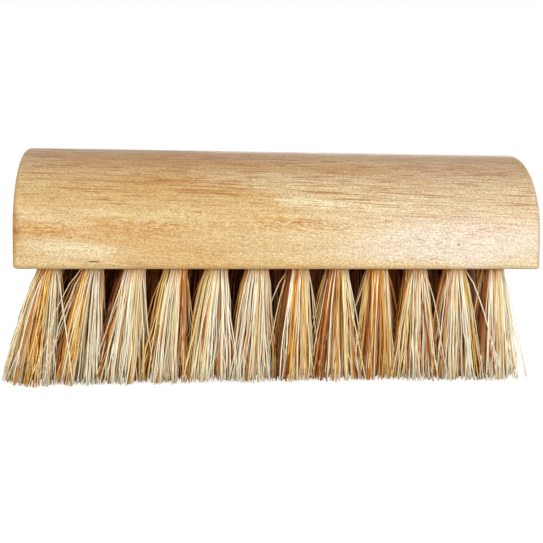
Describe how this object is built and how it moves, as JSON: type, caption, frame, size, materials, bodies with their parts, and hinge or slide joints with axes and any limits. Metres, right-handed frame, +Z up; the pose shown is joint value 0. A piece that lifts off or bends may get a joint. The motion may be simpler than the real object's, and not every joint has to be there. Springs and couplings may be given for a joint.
{
  "type": "scrub brush",
  "caption": "Hand scrub brush: a half-round wooden block with staggered rows of trimmed plant-fibre tufts, each folded over a wire anchor in a blind hole.",
  "frame": {"origin": "centre of the block's length and width, on the plane of the trimmed bristle tips", "axes": "+X along the block, +Z up from the bristle tips to the half-round top, +Y to the back"},
  "size_m": [0.1936, 0.063, 0.0865],
  "materials": {
    "block_wood": "satin",
    "plant_fibre": "matte",
    "anchor_wire": "satin"
  },
  "bodies": {
    "root": {"wood_block": "block_wood", "tuft_anchors": "anchor_wire", "tuft_front_01": "plant_fibre", "tuft_front_02": "plant_fibre", "tuft_front_03": "plant_fibre", "tuft_front_04": "plant_fibre", "tuft_front_05": "plant_fibre", "tuft_front_06": "plant_fibre", "tuft_front_07": "plant_fibre", "tuft_front_08": "plant_fibre", "tuft_front_09": "plant_fibre", "tuft_front_10": "plant_fibre", "tuft_front_11": "plant_fibre", "tuft_front_12": "plant_fibre", "tuft_mid_front_01": "plant_fibre", "tuft_mid_front_02": "plant_fibre", "tuft_mid_front_03": "plant_fibre", "tuft_mid_front_04": "plant_fibre", "tuft_mid_front_05": "plant_fibre", "tuft_mid_front_06": "plant_fibre", "tuft_mid_front_07": "plant_fibre", "tuft_mid_front_08": "plant_fibre", "tuft_mid_front_09": "plant_fibre", "tuft_mid_front_10": "plant_fibre", "tuft_mid_front_11": "plant_fibre", "tuft_centre_01": "plant_fibre", "tuft_centre_02": "plant_fibre", "tuft_centre_03": "plant_fibre", "tuft_centre_04": "plant_fibre", "tuft_centre_05": "plant_fibre", "tuft_centre_06": "plant_fibre", "tuft_centre_07": "plant_fibre", "tuft_centre_08": "plant_fibre", "tuft_centre_09": "plant_fibre", "tuft_centre_10": "plant_fibre", "tuft_centre_11": "plant_fibre", "tuft_centre_12": "plant_fibre", "tuft_mid_back_01": "plant_fibre", "tuft_mid_back_02": "plant_fibre", "tuft_mid_back_03": "plant_fibre", "tuft_mid_back_04": "plant_fibre", "tuft_mid_back_05": "plant_fibre", "tuft_mid_back_06": "plant_fibre", "tuft_mid_back_07": "plant_fibre", "tuft_mid_back_08": "plant_fibre", "tuft_mid_back_09": "plant_fibre", "tuft_mid_back_10": "plant_fibre", "tuft_mid_back_11": "plant_fibre", "tuft_back_01": "plant_fibre", "tuft_back_02": "plant_fibre", "tuft_back_03": "plant_fibre", "tuft_back_04": "plant_fibre", "tuft_back_05": "plant_fibre", "tuft_back_06": "plant_fibre", "tuft_back_07": "plant_fibre", "tuft_back_08": "plant_fibre", "tuft_back_09": "plant_fibre", "tuft_back_10": "plant_fibre", "tuft_back_11": "plant_fibre", "tuft_back_12": "plant_fibre"}
  },
  "joints": []
}
